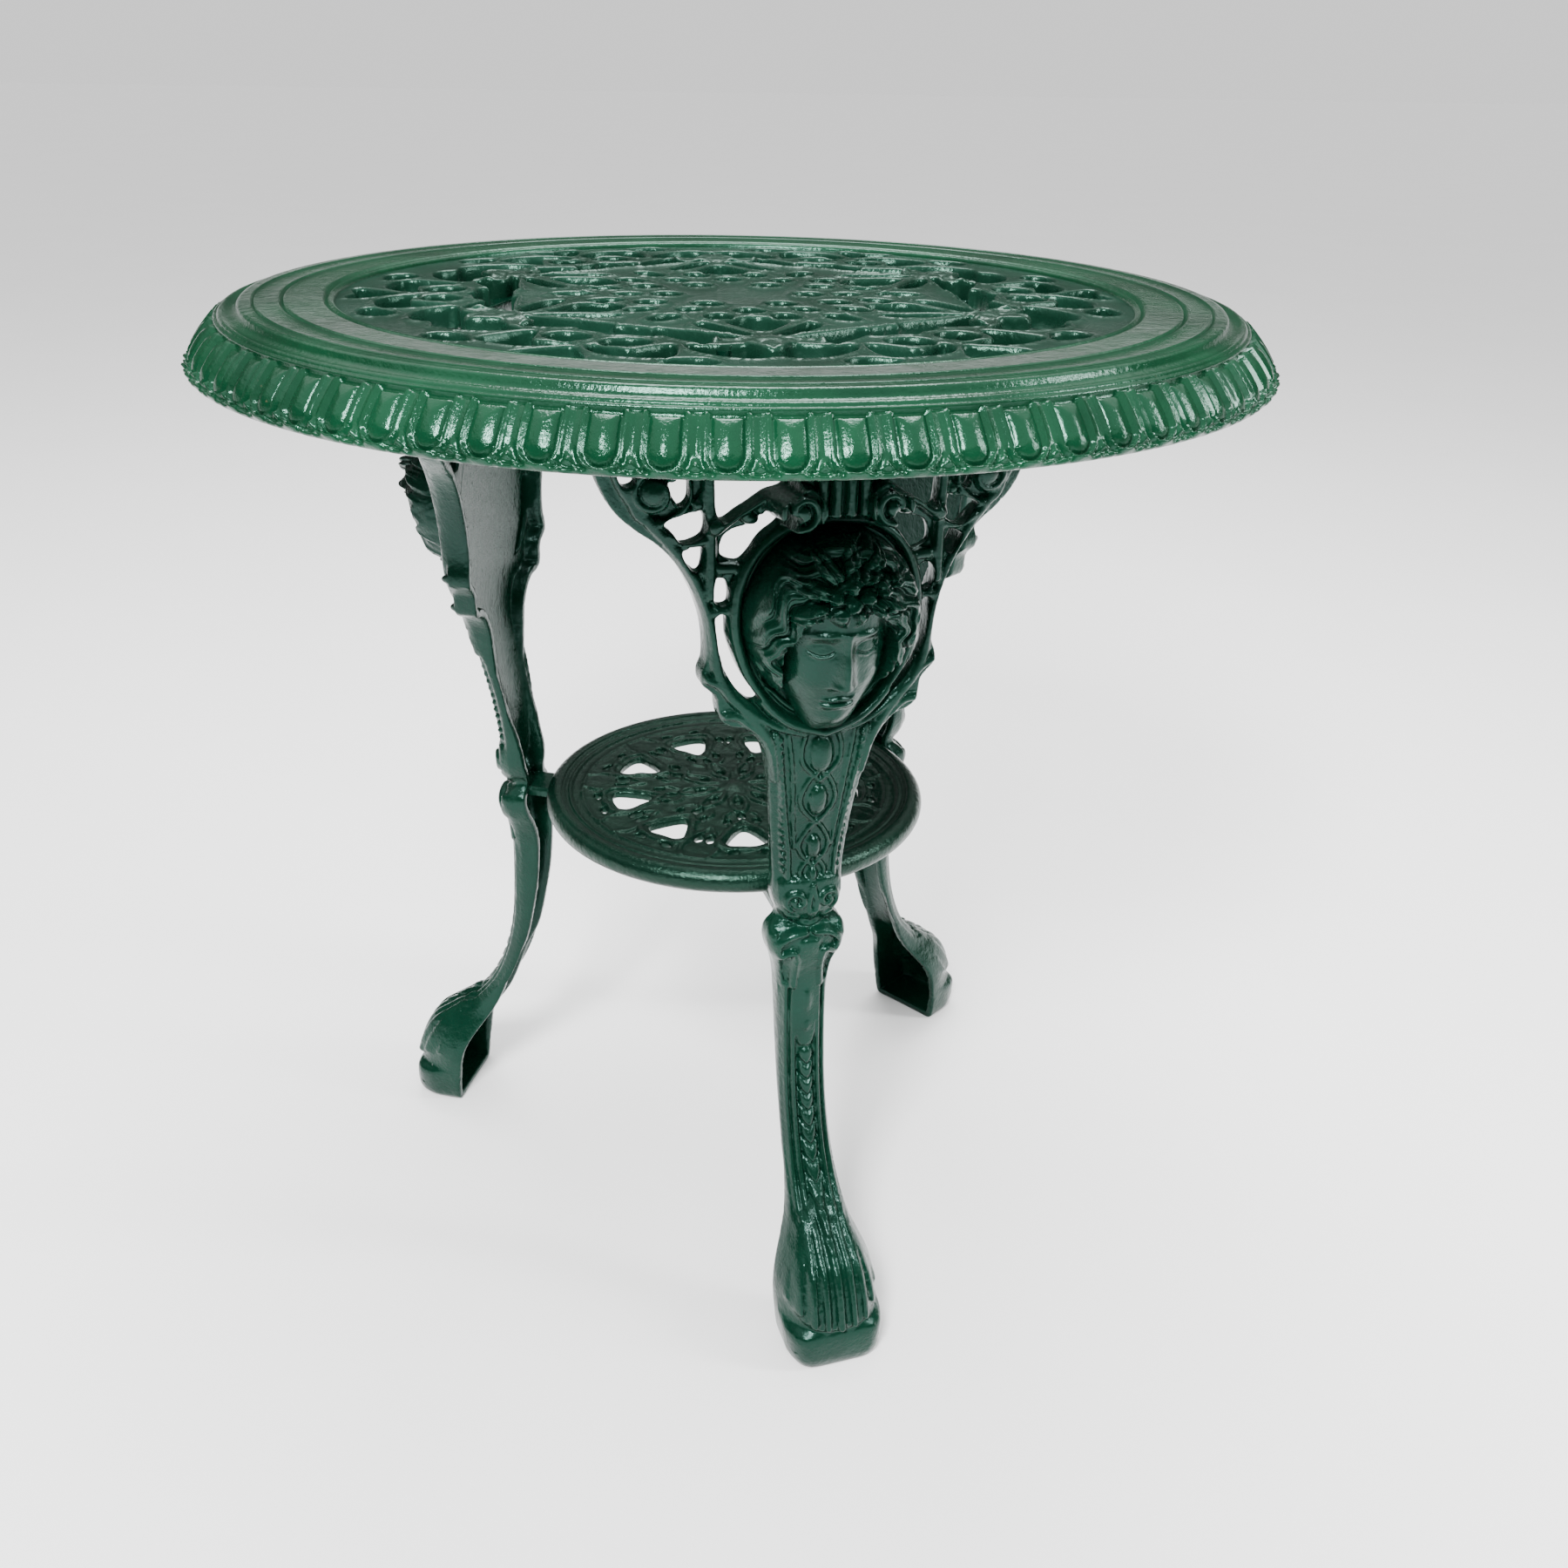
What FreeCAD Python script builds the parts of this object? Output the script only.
import FreeCAD, Part
import math
import os
import re
import Sketcher

# Three-legged cast-iron garden table, in millimetres.
# Origin: on the floor under the middle of the top. +Z is up and the front leg stands towards -Y.
# Each leg is drawn along its body's own +X and then turned to its place.

SIZES = {
    # table top, one casting: flat pierced plate, rim step and flared skirt
    "table_height": 700,
    "top_diameter": 710,
    "plate_thickness": 9,
    "skirt_drop": 37,
    "skirt_flare": 24,
    "skirt_wall": 7,
    "lip_height": 4,
    "rim_step": 5,
    "rim_width": 12,
    "border_width": 51,
    "boss_depth": 6,
    "boss_width": 22,
    # windows of the fretwork in the top
    "petal_count": 12,
    "petal_length": 52,
    "petal_width": 32,
    "kite_count": 6,
    "kite_length": 56,
    "kite_width": 34,
    "eye_diameter": 18,
    "fret_bar": 13,
    "ring_gap": 32.5,
    # lower shelf, one casting: pierced plate with a rounded rim
    "shelf_height": 331,
    "shelf_diameter": 292,
    "shelf_plate": 6,
    "shelf_rim": 18,
    "shelf_land": 5,
    "shelf_window_count": 9,
    "shelf_window_reach": 98,
    "shelf_window_length": 26,
    "shelf_window_width": 30,
    "shelf_eye_reach": 44,
    "shelf_eye_diameter": 9,
    # legs, three equal castings with an open back
    "leg_wall": 6,
    "shelf_gap": 12,
    "waist_depth": 25,
    "ankle_height": 100,
    "foot_reach": 278,
    "foot_depth": 38,
    "wing_reach": 197,
    "wing_depth": 30,
    "wing_half_width": 137,
    "mask_height": 116,
    "mask_width": 82,
    "mask_relief": 44,
    "flange_depth": 34,
    "lug_width": 30,
    "lug_thickness": 8,
    # fasteners
    "top_bolt_spacing": 120,
    "bolt_diameter": 8,
    "bolt_engagement": 9,
    "bolt_head_width": 13,
    "bolt_head_height": 5.5,
    "washer_diameter": 17,
    "washer_thickness": 1.6,
    "hole_clearance": 0.6,
    "thread_clearance": 0.2,
}

# What follows from the driving sizes
DERIVED = {
    "top_radius": "=top_diameter / 2",
    "under_top": "=table_height - plate_thickness",
    "flat_radius": "=top_radius - skirt_flare - rim_width",
    "fret_radius": "=flat_radius - border_width",
    "kite_tip": "=fret_radius - fret_bar - petal_length - ring_gap",
    "leg_top": "=under_top - boss_depth",
    "shelf_radius": "=shelf_diameter / 2",
    "rim_centre": "=shelf_radius - shelf_rim / 2",
    "shelf_under": "=shelf_height - shelf_rim",
    "upper_span": "=leg_top - shelf_height",
    "lower_span": "=shelf_height - ankle_height",
    "waist_reach": "=shelf_radius + shelf_gap + waist_depth",
    "top_bolt_reach": "=wing_reach - flange_depth / 2",
    "shelf_bolt_reach": "=rim_centre - (shelf_land + boss_width) / 2",
    "mask_centre": "=shelf_height + upper_span * 0.58",
}

LEG_ANGLES = {"front": -90, "left": 150, "right": 30}

# Leg stations from the sole up: height, reach of the face, depth of the channel,
# half width of the face and half width at the open back.
STATIONS = [
    ("sole", "0", "foot_reach", "foot_depth", "23", "36"),
    ("hoof", "ankle_height * 0.28", "foot_reach + 2", "foot_depth + 3", "25", "37"),
    ("coronet", "ankle_height * 0.56", "foot_reach - 5", "foot_depth + 3", "25", "35"),
    ("instep", "ankle_height * 0.78", "foot_reach - 18", "foot_depth", "22", "29"),
    ("ankle", "ankle_height", "foot_reach - 43", "foot_depth - 11", "18", "22"),
    ("shin", "ankle_height + lower_span * 0.2", "waist_reach + 14", "waist_depth - 10", "16", "18"),
    ("calf", "ankle_height + lower_span * 0.43", "waist_reach + 1", "waist_depth - 5", "16", "18"),
    ("calf_top", "ankle_height + lower_span * 0.74", "waist_reach - 1", "waist_depth - 1", "18", "19"),
    ("knee", "ankle_height + lower_span * 0.84", "waist_reach + 3", "waist_depth + 3", "25", "26"),
    ("knee_top", "ankle_height + lower_span * 0.89", "waist_reach + 1", "waist_depth + 1", "22", "23"),
    ("waist", "ankle_height + lower_span * 0.92", "waist_reach - 1", "waist_depth - 1", "19", "20"),
    ("collar", "shelf_height + upper_span * 0.02", "waist_reach + 2", "waist_depth + 1", "24", "24"),
    ("panel_low", "shelf_height + upper_span * 0.1", "waist_reach + 4", "waist_depth - 5", "26", "27"),
    ("panel_mid", "shelf_height + upper_span * 0.2", "wing_reach - 6", "waist_depth - 8", "29", "30"),
    ("panel_top", "shelf_height + upper_span * 0.34", "wing_reach", "waist_depth - 9", "38", "40"),
    ("wing_root", "shelf_height + upper_span * 0.4", "wing_reach + 1", "wing_depth - 13", "56", "62"),
    ("wing_barb", "shelf_height + upper_span * 0.47", "wing_reach + 1", "wing_depth - 12", "62", "76"),
    ("wing_neck", "shelf_height + upper_span * 0.6", "wing_reach", "wing_depth - 10", "60", "74"),
    ("wing_curve", "shelf_height + upper_span * 0.69", "wing_reach", "wing_depth - 6", "64", "92"),
    ("wing_scroll", "shelf_height + upper_span * 0.77", "wing_reach", "wing_depth - 2", "68", "118"),
    ("wing_edge", "shelf_height + upper_span * 0.84", "wing_reach", "wing_depth", "72", "wing_half_width"),
    ("wing_top", "leg_top", "wing_reach", "wing_depth", "76", "wing_half_width + 3"),
]

# Windows through the face of a wing: distance out from the middle, share of the upper span
WING_WINDOWS = {
    "crescent": [("40", 0.45), ("49", 0.49), ("56", 0.62), ("49", 0.62)],
    "spandrel": [("52", 0.68), ("62", 0.68), ("66", 0.86), ("46", 0.86)],
}

doc = FreeCAD.newDocument("garden_table")
sheet = doc.addObject("Spreadsheet::Sheet", "sizes")
working = doc.addObject("Spreadsheet::Sheet", "working")


def fill_sheet():
    """Write the driving sizes and what follows from them, each with its alias."""
    for row, (alias, value) in enumerate(list(SIZES.items()) + list(DERIVED.items()), 1):
        sheet.set("A%d" % row, alias)
        sheet.set("B%d" % row, str(value))
        sheet.setAlias("B%d" % row, alias)
    doc.recompute()


def bound(text):
    """An expression over the aliases, with each alias, but no function, read from the sheet."""
    return re.sub(r"[a-z_]+_[a-z]+\b", lambda word: "sizes." + word.group(0), text)


def worth(text):
    """The number that an expression over the aliases comes to, worked out in a spare sheet."""
    working.set("A1", "=" + bound(text))
    working.recompute()
    return float(working.get("A1"))


def bind(thing, prop, text):
    """Bind one property to an expression over the named sizes."""
    thing.setExpression(prop, bound(text))


def origin_part(body, role):
    """One of the body's own origin planes or axes."""
    return next(f for f in body.Origin.OriginFeatures if f.Role == role)


def new_sketch(body, name, role="XY_Plane", lift="0", angle=0):
    """A sketch on one of the body's origin planes, lifted off it and turned about its normal."""
    sketch = body.newObject("Sketcher::SketchObject", name)
    sketch.AttachmentSupport = [(origin_part(body, role), "")]
    sketch.MapMode = "FlatFace"
    turned = FreeCAD.Rotation(FreeCAD.Vector(0, 0, 1), angle)
    sketch.AttachmentOffset = FreeCAD.Placement(FreeCAD.Vector(0, 0, worth(lift)), turned)
    bind(sketch, "AttachmentOffset.Base.z", lift)
    return sketch


def pin(sketch, edge, point, x, y):
    """Hold one point of an edge at a place given by two expressions."""
    for kind, text in (("DistanceX", x), ("DistanceY", y)):
        index = sketch.addConstraint(Sketcher.Constraint(kind, -1, 1, edge, point, worth(text)))
        bind(sketch, "Constraints[%d]" % index, text)


def chain(sketch, corners):
    """Straight edges from corner to corner, each corner given as a pair of expressions."""
    points = [FreeCAD.Vector(worth(x), worth(y), 0) for x, y in corners]
    first = sketch.GeometryCount
    for start, end in zip(points, points[1:]):
        sketch.addGeometry(Part.LineSegment(start, end))
    last = sketch.GeometryCount - 1
    for edge in range(first, last):
        sketch.addConstraint(Sketcher.Constraint("Coincident", edge, 2, edge + 1, 1))
    for edge, (x, y) in enumerate(corners[:-1], first):
        pin(sketch, edge, 1, x, y)
    return first, last


def polygon(sketch, corners):
    """A closed outline of straight edges through corners given as pairs of expressions."""
    first, last = chain(sketch, corners + corners[:1])
    sketch.addConstraint(Sketcher.Constraint("Coincident", last, 2, first, 1))


def round_ended(sketch, corners, centre_x, centre_y):
    """An outline of straight edges whose two ends, one above the other, a half circle joins."""
    first, last = chain(sketch, corners)
    pin(sketch, last, 2, *corners[-1])
    centre = FreeCAD.Vector(worth(centre_x), worth(centre_y), 0)
    radius = abs(worth(corners[0][1]) - worth(corners[-1][1])) / 2
    whole = Part.Circle(centre, FreeCAD.Vector(0, 0, 1), radius)
    arc = sketch.addGeometry(Part.ArcOfCircle(whole, -math.pi / 2, math.pi / 2))
    sketch.addConstraint(Sketcher.Constraint("Coincident", arc, 1, first, 1))
    sketch.addConstraint(Sketcher.Constraint("Coincident", arc, 2, last, 2))
    place = sketch.addConstraint(Sketcher.Constraint("DistanceX", -1, 1, arc, 3, centre.x))
    bind(sketch, "Constraints[%d]" % place, centre_x)


def circle(sketch, x, y, diameter):
    """A circle with its centre and diameter given by expressions."""
    centre = FreeCAD.Vector(worth(x), worth(y), 0)
    round_edge = Part.Circle(centre, FreeCAD.Vector(0, 0, 1), worth(diameter) / 2)
    edge = sketch.addGeometry(round_edge)
    pin(sketch, edge, 3, x, y)
    index = sketch.addConstraint(Sketcher.Constraint("Diameter", edge, worth(diameter)))
    bind(sketch, "Constraints[%d]" % index, diameter)


def pad(body, sketch, length):
    """Add a sketch's outline, as thick as an expression says, along its normal."""
    feature = body.newObject("PartDesign::Pad", sketch.Name + "_pad")
    feature.Profile = sketch
    bind(feature, "Length", length)
    doc.recompute()


def cut_up(body, sketch, depth=None):
    """Cut a sketch along its normal, right through or to a depth, and make sure that it cut."""
    before = body.Shape.Volume
    feature = body.newObject("PartDesign::Pocket", sketch.Name + "_cut")
    feature.Profile = sketch
    feature.Reversed = True
    if depth is None:
        feature.Type = "ThroughAll"
    else:
        bind(feature, "Length", depth)
    doc.recompute()
    if body.Shape.Volume >= before:
        raise ValueError(sketch.Name + " cuts nothing")
    return feature


def turn_round(body, sketch):
    """A solid of revolution of a sketch about the vertical axis."""
    feature = body.newObject("PartDesign::Revolution", sketch.Name + "_turned")
    feature.Profile = sketch
    feature.ReferenceAxis = (sketch, ["V_Axis"])
    doc.recompute()


def repeat_round(body, feature, count):
    """Repeat a feature evenly round the body's vertical axis."""
    pattern = body.newObject("PartDesign::PolarPattern", feature.Name + "_ring")
    pattern.Originals = [feature]
    pattern.Axis = (origin_part(body, "Z_Axis"), [""])
    pattern.Angle = 360
    bind(pattern, "Occurrences", count)
    body.Tip = pattern
    doc.recompute()


def half_step(count):
    """Half the angle between neighbours of a ring of windows."""
    return 180 / worth(count)


def upright(angle):
    """The placement of a piece drawn along +X that stands at an angle about the vertical."""
    turned = FreeCAD.Rotation(FreeCAD.Vector(0, 0, 1), angle)
    return FreeCAD.Placement(FreeCAD.Vector(0, 0, 0), turned)


def table_top():
    """Plate, rim step and flared skirt in one turned profile, pierced by rings of windows."""
    body = doc.addObject("PartDesign::Body", "table_top")
    profile = new_sketch(body, "top_profile", "XZ_Plane")
    polygon(profile, [
        ("0", "table_height"),
        ("flat_radius", "table_height"),
        ("flat_radius + rim_width / 2", "table_height - rim_step"),
        ("flat_radius + rim_width", "table_height - rim_step"),
        ("top_radius", "table_height - skirt_drop + lip_height"),
        ("top_radius", "table_height - skirt_drop"),
        ("top_radius - skirt_wall", "table_height - skirt_drop"),
        ("flat_radius + rim_width - skirt_wall", "under_top - rim_step"),
        ("flat_radius - skirt_wall", "under_top"),
        ("0", "under_top"),
    ])
    turn_round(body, profile)
    # Windows start half a step round, so that bars of the fretwork lie over the legs.
    petal = new_sketch(body, "petal_window", angle=half_step("petal_count"))
    outer = "fret_radius - fret_bar"
    polygon(petal, [
        (outer, "0"),
        (outer + " - petal_length * 0.3", "petal_width / 2"),
        (outer + " - petal_length * 0.7", "petal_width * 0.4"),
        (outer + " - petal_length", "0"),
        (outer + " - petal_length * 0.7", "-petal_width * 0.4"),
        (outer + " - petal_length * 0.3", "-petal_width / 2"),
    ])
    repeat_round(body, cut_up(body, petal), "petal_count")
    kite = new_sketch(body, "kite_window")
    polygon(kite, [
        ("kite_tip", "0"),
        ("kite_tip - kite_length * 0.4", "kite_width / 2"),
        ("kite_tip - kite_length", "0"),
        ("kite_tip - kite_length * 0.4", "-kite_width / 2"),
    ])
    repeat_round(body, cut_up(body, kite), "kite_count")
    eye = new_sketch(body, "eye_window", angle=half_step("kite_count"))
    circle(eye, "kite_tip - kite_length - fret_bar - eye_diameter / 2", "0", "eye_diameter")
    repeat_round(body, cut_up(body, eye), "kite_count")
    for name, angle in LEG_ANGLES.items():
        top_boss(body, name, angle)
    return body


def top_boss(body, name, angle):
    """A solid pad under the plate over one leg, with two blind tapped holes for its bolts."""
    outline = new_sketch(body, "boss_" + name, lift="leg_top", angle=angle)
    half = "(top_bolt_spacing + boss_width) / 2"
    inner = "top_bolt_reach - boss_width / 2"
    outer = "top_bolt_reach + boss_width / 2"
    polygon(outline, [(inner, "-" + half), (outer, "-" + half), (outer, half), (inner, half)])
    pad(body, outline, "boss_depth + plate_thickness / 2")
    holes = new_sketch(body, "tapped_" + name, lift="leg_top", angle=angle)
    for side in ("-", ""):
        offset = side + "top_bolt_spacing / 2"
        circle(holes, "top_bolt_reach", offset, "bolt_diameter + thread_clearance")
    cut_up(body, holes, "bolt_engagement + thread_clearance")


def shelf():
    """A pierced plate with a deep rounded rim and three bosses that the legs' lugs carry."""
    body = doc.addObject("PartDesign::Body", "shelf")
    profile = new_sketch(body, "shelf_profile", "XZ_Plane")
    round_ended(profile, [
        ("rim_centre", "shelf_under"),
        ("shelf_radius - shelf_rim / 2 - shelf_land", "shelf_under"),
        ("shelf_radius - shelf_rim / 2 - shelf_land", "shelf_height - shelf_plate"),
        ("0", "shelf_height - shelf_plate"),
        ("0", "shelf_height"),
        ("rim_centre", "shelf_height"),
    ], "rim_centre", "shelf_height - shelf_rim / 2")
    turn_round(body, profile)
    # The ring of windows stands a quarter step round, and the eyes lie between the windows.
    window_turn = half_step("shelf_window_count") / 2
    window = new_sketch(body, "shelf_window", angle=window_turn)
    polygon(window, [
        ("shelf_window_reach", "shelf_window_width / 2"),
        ("shelf_window_reach", "-shelf_window_width / 2"),
        ("shelf_window_reach - shelf_window_length", "0"),
    ])
    repeat_round(body, cut_up(body, window), "shelf_window_count")
    eye = new_sketch(body, "shelf_eye", angle=window_turn + half_step("shelf_window_count"))
    circle(eye, "shelf_eye_reach", "0", "shelf_eye_diameter")
    repeat_round(body, cut_up(body, eye), "shelf_window_count")
    for name, angle in LEG_ANGLES.items():
        boss = new_sketch(body, "shelf_boss_" + name, lift="shelf_under", angle=angle)
        circle(boss, "shelf_bolt_reach", "0", "boss_width")
        pad(body, boss, "shelf_rim - shelf_plate / 2")
        hole = new_sketch(body, "shelf_tapped_" + name, lift="shelf_under", angle=angle)
        circle(hole, "shelf_bolt_reach", "0", "bolt_diameter + thread_clearance")
        cut_up(body, hole, "bolt_engagement + thread_clearance")
    return body


def station(body, name, height, reach, depth, face_half, back_half):
    """One level section of a leg: a channel that is open towards the table's middle."""
    sketch = new_sketch(body, name, lift=height)
    back = "%s - (%s)" % (reach, depth)
    inside = "%s - leg_wall" % reach
    outer = [(back, back_half), (reach, face_half), (reach, "-" + face_half), (back, "-(%s)" % back_half)]
    inner = [
        (back, "-(%s - leg_wall)" % back_half),
        (inside, "-(%s - leg_wall * 0.7)" % face_half),
        (inside, "%s - leg_wall * 0.7" % face_half),
        (back, "%s - leg_wall" % back_half),
    ]
    polygon(sketch, outer + inner)
    return sketch


def mask(body):
    """The hollow oval dome that carries the medallion's head."""
    for kind, name, wall in (("Additive", "mask", "0"), ("Subtractive", "mask_hollow", "leg_wall")):
        dome = body.newObject("PartDesign::%sEllipsoid" % kind, name)
        dome.AttachmentSupport = [(origin_part(body, "XY_Plane"), "")]
        dome.MapMode = "FlatFace"
        turned = FreeCAD.Rotation(FreeCAD.Vector(0, 0, 1), -90)
        dome.AttachmentOffset = FreeCAD.Placement(FreeCAD.Vector(0, 0, 0), turned)
        bind(dome, "AttachmentOffset.Base.x", "wing_reach - leg_wall")
        bind(dome, "AttachmentOffset.Base.z", "mask_centre")
        bind(dome, "Radius1", "mask_height / 2 - " + wall)
        bind(dome, "Radius2", "mask_width / 2 - " + wall)
        bind(dome, "Radius3", "mask_relief + leg_wall - " + wall)
        dome.Angle3 = 180
        doc.recompute()


def leg(name, angle):
    """One casting: hoof, cabriole leg, panel and pierced wing, with lugs for shelf and top."""
    body = doc.addObject("PartDesign::Body", "leg_" + name)
    sections = [station(body, s[0] + "_" + name, *s[1:]) for s in STATIONS]
    doc.recompute()
    loft = body.newObject("PartDesign::AdditiveLoft", "channel_" + name)
    loft.Profile = sections[0]
    loft.Sections = sections[1:]
    loft.Ruled = True
    doc.recompute()
    mask(body)
    for kind, corners in WING_WINDOWS.items():
        for side in ("", "-"):
            outline = new_sketch(body, kind + "_" + name, "YZ_Plane")
            heights = ["shelf_height + upper_span * %g" % share for t, share in corners]
            polygon(outline, [(side + c[0], z) for c, z in zip(corners, heights)])
            cut_up(body, outline)
    lugs(body, name)
    body.Placement = upright(angle)
    return body


def lugs(body, name):
    """The flange that meets the top, the lug that carries the shelf, and their bolt holes."""
    hole = "bolt_diameter + hole_clearance"
    flange = new_sketch(body, "flange_" + name, lift="leg_top - lug_thickness")
    half = "(top_bolt_spacing + boss_width) / 2"
    inner = "wing_reach - flange_depth"
    outer = "wing_reach - leg_wall / 2"
    polygon(flange, [(inner, "-" + half), (outer, "-" + half), (outer, half), (inner, half)])
    pad(body, flange, "lug_thickness")
    flange_holes = new_sketch(body, "flange_holes_" + name, lift="leg_top - lug_thickness")
    for side in ("-", ""):
        circle(flange_holes, "top_bolt_reach", side + "top_bolt_spacing / 2", hole)
    cut_up(body, flange_holes)
    lug = new_sketch(body, "lug_" + name, lift="shelf_under - lug_thickness")
    end = "shelf_bolt_reach - boss_width / 2"
    root = "waist_reach - leg_wall / 2"
    polygon(lug, [(end, "-lug_width / 2"), (root, "-lug_width / 2"), (root, "lug_width / 2"),
                  (end, "lug_width / 2")])
    pad(body, lug, "lug_thickness")
    lug_hole = new_sketch(body, "lug_hole_" + name)
    circle(lug_hole, "shelf_bolt_reach", "0", hole)
    cut_up(body, lug_hole)


def bolt(name, angle, reach, offset, seat, grip):
    """A hexagon-headed bolt that stands head down under a washer whose lower face is the seat."""
    body = doc.addObject("PartDesign::Body", name)
    head = new_sketch(body, name + "_head", lift="%s - bolt_head_height" % seat)
    corners = []
    for k in range(6):
        turn = math.radians(60 * k)
        across = "bolt_head_width * %.5f"
        x = reach + " + " + across % (math.cos(turn) / math.sqrt(3))
        y = offset + " + " + across % (math.sin(turn) / math.sqrt(3))
        corners.append((x, y))
    polygon(head, corners)
    pad(body, head, "bolt_head_height")
    shank = new_sketch(body, name + "_shank", lift=seat)
    circle(shank, reach, offset, "bolt_diameter")
    pad(body, shank, grip)
    body.Placement = upright(angle)
    return body


def washer(name, angle, reach, offset, seat):
    """A plain washer that lies on the seat."""
    body = doc.addObject("PartDesign::Body", name)
    ring = new_sketch(body, name + "_ring", lift=seat)
    circle(ring, reach, offset, "washer_diameter")
    circle(ring, reach, offset, "bolt_diameter + hole_clearance")
    pad(body, ring, "washer_thickness")
    body.Placement = upright(angle)
    return body


def fasteners(name, angle):
    """The two bolts that hold a leg to the top and the one that holds the shelf to its lug."""
    pieces = []
    grip = "washer_thickness + lug_thickness + bolt_engagement"
    places = [
        ("top", "_a", "top_bolt_reach", "-top_bolt_spacing / 2", "leg_top"),
        ("top", "_b", "top_bolt_reach", "top_bolt_spacing / 2", "leg_top"),
        ("shelf", "", "shelf_bolt_reach", "0", "shelf_under"),
    ]
    for what, end, reach, offset, joint in places:
        seat = "%s - lug_thickness - washer_thickness" % joint
        pieces.append(bolt("%s_bolt_%s%s" % (what, name, end), angle, reach, offset, seat, grip))
        pieces.append(washer("%s_washer_%s%s" % (what, name, end), angle, reach, offset, seat))
    return pieces


def check_and_write(pieces):
    """Write each piece as its own file, once every object has proved sound."""
    doc.recompute()
    for thing in doc.Objects:
        if "Invalid" in thing.State or "Error" in thing.State:
            raise ValueError("%s failed: %s" % (thing.Label, thing.State))
    for piece in pieces:
        shape = piece.Shape
        if shape.isNull() or not shape.isValid() or len(shape.Solids) != 1:
            raise ValueError("%s is not one sound solid" % piece.Label)
    os.makedirs("parts", exist_ok=True)
    for piece in pieces:
        piece.Shape.exportStep("parts/%s.step" % piece.Label)
        print(piece.Label, round(piece.Shape.Volume / 1000, 1), "cm3")


fill_sheet()
everything = [table_top(), shelf()]
for leg_name, leg_angle in LEG_ANGLES.items():
    everything.append(leg(leg_name, leg_angle))
for leg_name, leg_angle in LEG_ANGLES.items():
    everything += fasteners(leg_name, leg_angle)
check_and_write(everything)
